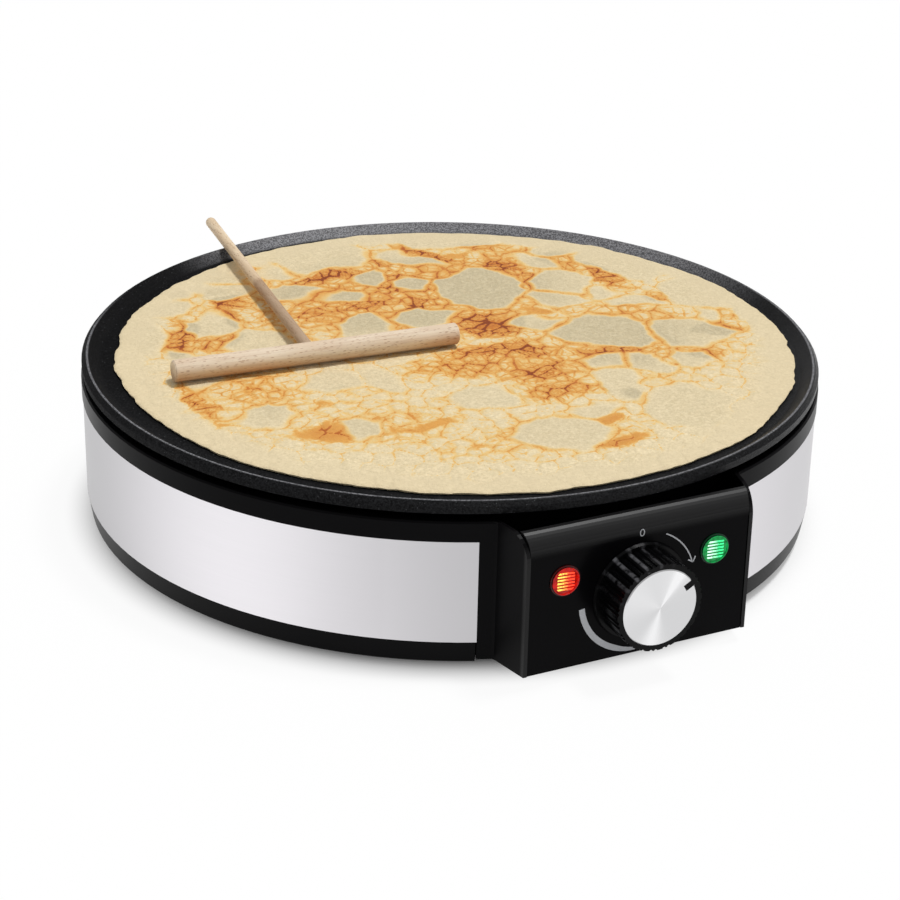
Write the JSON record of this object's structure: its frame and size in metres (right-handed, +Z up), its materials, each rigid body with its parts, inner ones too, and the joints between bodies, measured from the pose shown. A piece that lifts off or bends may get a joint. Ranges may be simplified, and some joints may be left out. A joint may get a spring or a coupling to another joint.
{
  "type": "electric crepe maker",
  "caption": "Round tabletop electric hot plate with a low drum body, a front control box with a dial and two pilot lamps, a thin crepe on the plate and a wooden T-shaped batter spreader.",
  "frame": {"origin": "on the plate's axis, at the table the feet stand on", "axes": "+Z up through the plate, -Y towards the control box, +X to the right of a user who faces the control box"},
  "size_m": [0.3208, 0.3662, 0.0817],
  "materials": {
    "plate_coating": "stone-speckled non-stick coating on cast aluminium",
    "element_sheath": "dull heated steel sheath",
    "zinc_steel": "bright zinc plate",
    "shield_sheet": "mill-finish sheet",
    "spacer_tube": "plain",
    "black_housing": "satin black moulding",
    "band_steel": "fine satin",
    "black_base": "satin black moulding",
    "foot_rubber": "matt",
    "black_panel": "semi-gloss black moulding",
    "red_lens": "clear red, prismed",
    "green_lens": "clear green, prismed",
    "spring_steel": "plain",
    "neon_glass": "clear glass",
    "holder_nylon": "natural nylon",
    "case_resin": "moulded resin",
    "spindle_brass": "turned",
    "black_knob": "semi-gloss black moulding",
    "spun_aluminium": "spun, with circular brushing",
    "copper": "drawn copper",
    "fuse_body": "glazed",
    "block_nylon": "natural nylon",
    "earth_brass": "turned",
    "wire_brown": "insulated wire",
    "wire_blue": "insulated wire",
    "wire_green": "insulated wire",
    "wire_white": "glass-braided wire",
    "black_gland": "matt",
    "black_nut": "matt",
    "batter": "baked, with browned veins",
    "beech": "plain sanded beech"
  },
  "bodies": {
    "base": {"hot_plate": "plate_coating", "heating_element": "element_sheath", "element_clips": "zinc_steel", "clip_screws": "zinc_steel", "heat_shield": "shield_sheet", "plate_studs": "zinc_steel", "stud_spacers": "spacer_tube", "stud_nuts": "zinc_steel", "upper_housing": "black_housing", "steel_band": "band_steel", "base_pan": "black_base", "base_screws": "zinc_steel", "rubber_feet": "foot_rubber", "control_panel": "black_panel", "panel_screws": "zinc_steel", "red_lens": "red_lens", "green_lens": "green_lens", "lens_nuts": "spring_steel", "red_lamp": "neon_glass", "green_lamp": "neon_glass", "lamp_holders": "holder_nylon", "thermostat_case": "case_resin", "thermostat_bracket": "zinc_steel", "thermostat_screws": "zinc_steel", "capillary_tube": "copper", "sensor_bulb": "copper", "bulb_clip": "zinc_steel", "thermal_fuse": "fuse_body", "fuse_clip": "zinc_steel", "terminal_block": "block_nylon", "block_screw": "zinc_steel", "earth_screw": "earth_brass", "live_wire": "wire_brown", "neutral_wire": "wire_blue", "earth_wire": "wire_green", "heater_wire": "wire_white", "lamp_wires": "wire_white", "cord_gland": "black_gland", "gland_nut": "black_nut"},
    "knob": {"knob_body": "black_knob", "knob_cap": "spun_aluminium", "thermostat_spindle": "spindle_brass"},
    "crepe": {"crepe": "batter"},
    "spreader": {"spreader_head": "beech", "spreader_handle": "beech"}
  },
  "joints": [
    {"name": "knob_turn", "type": "hinge", "parent": "base", "child": "knob", "pos_m": [0, -0.17, 0.0335], "axis": [0, 1, 0], "range_deg": [-59.5, 205.5]},
    {"name": "crepe_lift", "type": "slide", "parent": "base", "child": "crepe", "axis": [0, 0, 1], "range_m": [0, 0.12]},
    {"name": "spreader_lift", "type": "slide", "parent": "crepe", "child": "spreader", "axis": [0, 0, 1], "range_m": [0, 0.15]}
  ]
}
